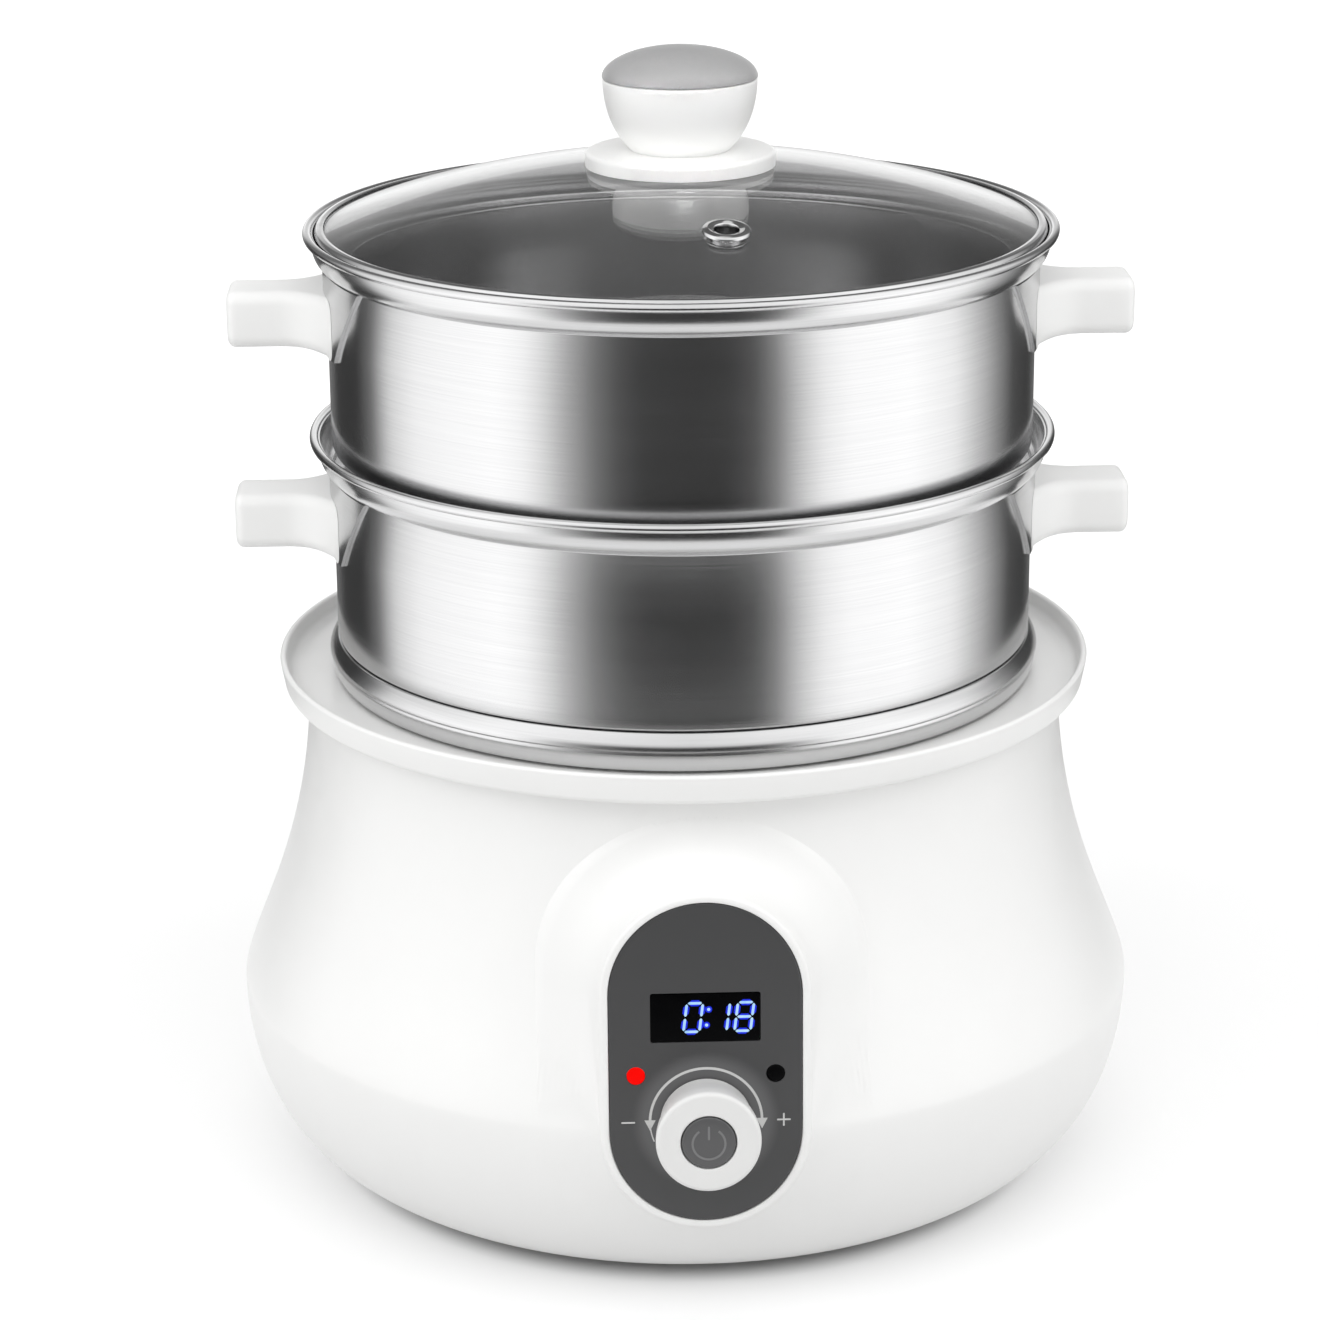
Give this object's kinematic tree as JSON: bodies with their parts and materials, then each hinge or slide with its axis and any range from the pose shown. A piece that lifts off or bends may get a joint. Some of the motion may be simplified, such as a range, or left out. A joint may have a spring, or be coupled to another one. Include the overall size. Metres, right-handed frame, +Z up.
{
  "type": "multicooker",
  "caption": "Electric multicooker with a bell-shaped heated base, panel knob and display, inner pot, stacked steamer baskets with side handles and a domed glass lid.",
  "frame": {"origin": "on the floor, on the cooker's vertical axis, in the plane under the feet", "axes": "+Z up along the axis of the pot and lid, -Y towards the control panel, +X to the right seen from the panel"},
  "size_m": [0.314, 0.3307, 0.3905],
  "materials": {
    "white_plastic": "satin moulded",
    "dark_plastic": "matte",
    "grey_panel": "satin",
    "grey_button": "satin",
    "grey_cap": "satin",
    "display_black": "gloss",
    "red_lens": "clear gloss",
    "dark_lens": "clear gloss",
    "circuit_board": "satin",
    "winding_tape": "satin",
    "foot_rubber": "matte",
    "silicone": "matte",
    "brushed_pot": "brushed round the axis",
    "polished_steel": "polished",
    "bright_sheet": "rolled",
    "cast_aluminium": "turned",
    "element_sheath": "oxidised",
    "zinc_steel": "zinc plated",
    "plated_pins": "nickel plated",
    "lid_glass": "clear"
  },
  "bodies": {
    "base": {"outer_shell": "white_plastic", "rim_tray": "white_plastic", "liner": "bright_sheet", "base_plate": "dark_plastic", "feet": "foot_rubber", "base_screws": "zinc_steel", "heating_plate": "cast_aluminium", "heating_element": "element_sheath", "sensor_holder": "dark_plastic", "sensor_spring": "zinc_steel", "power_inlet": "dark_plastic", "inlet_pins": "plated_pins", "power_board_pcb": "circuit_board", "relay": "dark_plastic", "transformer": "winding_tape", "fascia": "grey_panel", "display_window": "display_black", "display_module": "display_black", "red_lamp": "red_lens", "dark_lamp": "dark_lens", "control_board": "circuit_board", "encoder_body": "dark_plastic", "tact_switch": "dark_plastic"},
    "dial": {"dial_knob": "white_plastic", "encoder_shaft": "zinc_steel"},
    "button": {"power_button": "grey_button", "switch_plunger": "dark_plastic"},
    "sensor": {"sensor_cap": "cast_aluminium"},
    "pot": {"inner_pot": "brushed_pot"},
    "steamer_low": {"lower_basket": "brushed_pot", "lower_bracket_left": "brushed_pot", "lower_bracket_right": "brushed_pot", "lower_handle_left": "white_plastic", "lower_handle_right": "white_plastic", "lower_handle_screws": "zinc_steel"},
    "steamer_high": {"upper_basket": "brushed_pot", "upper_bracket_left": "brushed_pot", "upper_bracket_right": "brushed_pot", "upper_handle_left": "white_plastic", "upper_handle_right": "white_plastic", "upper_handle_screws": "zinc_steel"},
    "lid": {"lid_glass": "lid_glass", "lid_rim": "polished_steel", "vent_eyelet": "polished_steel", "knob_disc": "white_plastic", "knob_gasket": "silicone", "knob_body": "white_plastic", "knob_cap": "grey_cap", "knob_screw": "zinc_steel", "knob_washer": "silicone"}
  },
  "joints": [
    {"name": "dial_turn", "type": "hinge", "parent": "base", "child": "dial", "pos_m": [0, -0.15453, 0.07043], "axis": [0, -0.9986, 0.0523], "continuous": true},
    {"name": "power_press", "type": "slide", "parent": "base", "child": "button", "axis": [0, 0.9986, -0.0523], "range_m": [0, 0.001], "stiffness_N_per_m": 2000, "springref_m": -0.0005},
    {"name": "sensor_press", "type": "slide", "parent": "base", "child": "sensor", "axis": [0, 0, 1], "range_m": [-0.002, 0], "stiffness_N_per_m": 1500, "springref_m": 0.002, "deforming": ["sensor_spring"]},
    {"name": "pot_lift", "type": "slide", "parent": "base", "child": "pot", "axis": [0, 0, 1], "range_m": [0, 0.2]},
    {"name": "lower_basket_lift", "type": "slide", "parent": "pot", "child": "steamer_low", "axis": [0, 0, 1], "range_m": [0, 0.12]},
    {"name": "upper_basket_lift", "type": "slide", "parent": "steamer_low", "child": "steamer_high", "axis": [0, 0, 1], "range_m": [0, 0.12]},
    {"name": "lid_lift", "type": "slide", "parent": "steamer_high", "child": "lid", "axis": [0, 0, 1], "range_m": [0, 0.12]}
  ]
}
